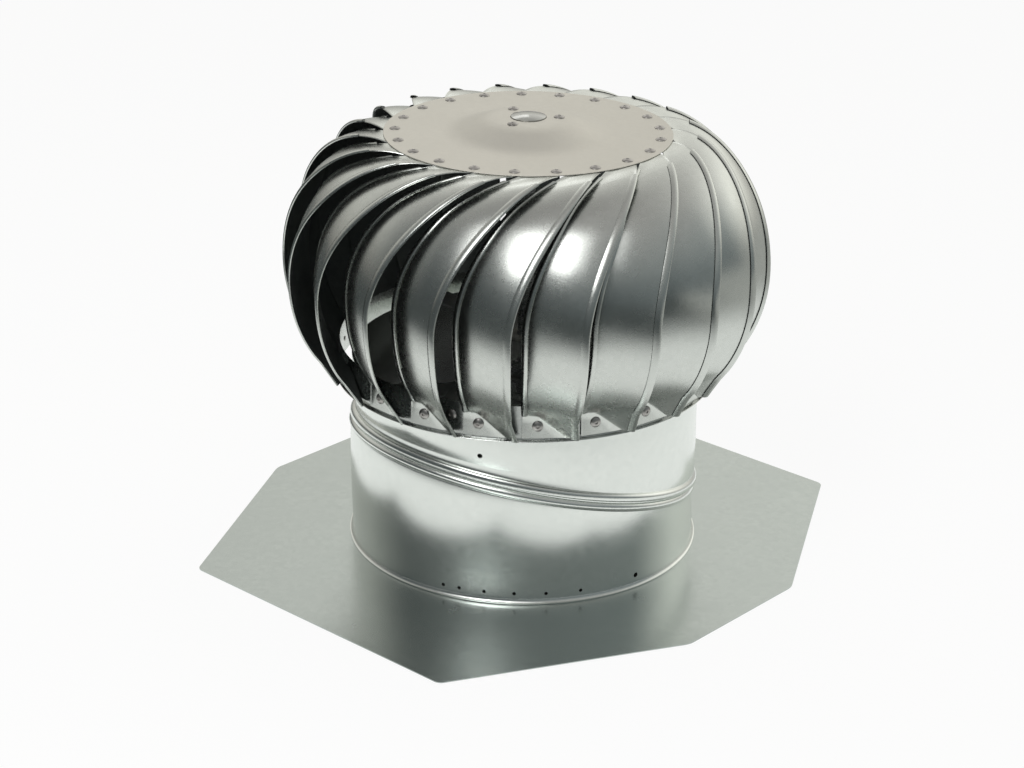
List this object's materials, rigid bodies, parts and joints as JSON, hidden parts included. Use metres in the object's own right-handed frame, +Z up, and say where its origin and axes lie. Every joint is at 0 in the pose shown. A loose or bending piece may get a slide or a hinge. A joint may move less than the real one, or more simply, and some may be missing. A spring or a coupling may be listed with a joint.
{
  "type": "turbine roof vent",
  "caption": "Galvanised turbine roof vent: a spinning globe of curved hemmed vanes over a swivelling two-piece round collar on a flat octagonal flashing.",
  "frame": {"origin": "on the shaft axis at the underside of the flashing, where the vent sits on the roof", "axes": "+Z up along the shaft, +X across the flashing's shorter width, +Y along its longer one"},
  "size_m": [0.5, 0.52, 0.3867],
  "materials": {
    "flashing_zinc": "galvanised, satin with a fine zinc spangle",
    "collar_zinc": "galvanised, satin with a fine zinc spangle",
    "vane_zinc": "galvanised, satin with a fine zinc spangle",
    "cap_zinc": "galvanised, satin with a fine zinc spangle",
    "ring_zinc": "galvanised, satin with a fine zinc spangle",
    "strap_zinc": "galvanised, satin with a fine zinc spangle",
    "rivet_steel": "dull plated rivet heads",
    "shaft_steel": "zinc plated bar",
    "bearing_steel": "ground bearing rings",
    "housing_alloy": "die cast, domed top polished",
    "bush_nylon": "natural nylon"
  },
  "bodies": {
    "base": {"base_flashing": "flashing_zinc", "lower_collar": "collar_zinc"},
    "swivel_collar": {"upper_collar": "collar_zinc", "shaft_brace": "strap_zinc", "brace_rivets": "rivet_steel", "shaft": "shaft_steel", "shaft_nuts": "shaft_steel", "shaft_washers": "shaft_steel", "bearing_inner_ring": "bearing_steel"},
    "turbine": {"top_cap": "cap_zinc", "bottom_ring": "ring_zinc", "bearing_housing": "housing_alloy", "bearing_outer_ring": "bearing_steel", "head_spider": "strap_zinc", "shaft_bush": "bush_nylon", "cap_rivets": "rivet_steel", "ring_rivets": "rivet_steel", "boss_rivets": "rivet_steel", "spider_rivets": "rivet_steel", "vane_01": "vane_zinc", "vane_02": "vane_zinc", "vane_03": "vane_zinc", "vane_04": "vane_zinc", "vane_05": "vane_zinc", "vane_06": "vane_zinc", "vane_07": "vane_zinc", "vane_08": "vane_zinc", "vane_09": "vane_zinc", "vane_10": "vane_zinc", "vane_11": "vane_zinc", "vane_12": "vane_zinc", "vane_13": "vane_zinc", "vane_14": "vane_zinc", "vane_15": "vane_zinc", "vane_16": "vane_zinc", "vane_17": "vane_zinc", "vane_18": "vane_zinc", "vane_19": "vane_zinc", "vane_20": "vane_zinc", "vane_21": "vane_zinc"}
  },
  "joints": [
    {"name": "collar_swivel", "type": "hinge", "parent": "base", "child": "swivel_collar", "pos_m": [0, 0, 0.0828], "axis": [0.0358, 0.2393, 0.9703], "continuous": true},
    {"name": "turbine_spin", "type": "hinge", "parent": "swivel_collar", "child": "turbine", "pos_m": [0, 0, 0.25], "axis": [0, 0, 1], "continuous": true}
  ]
}
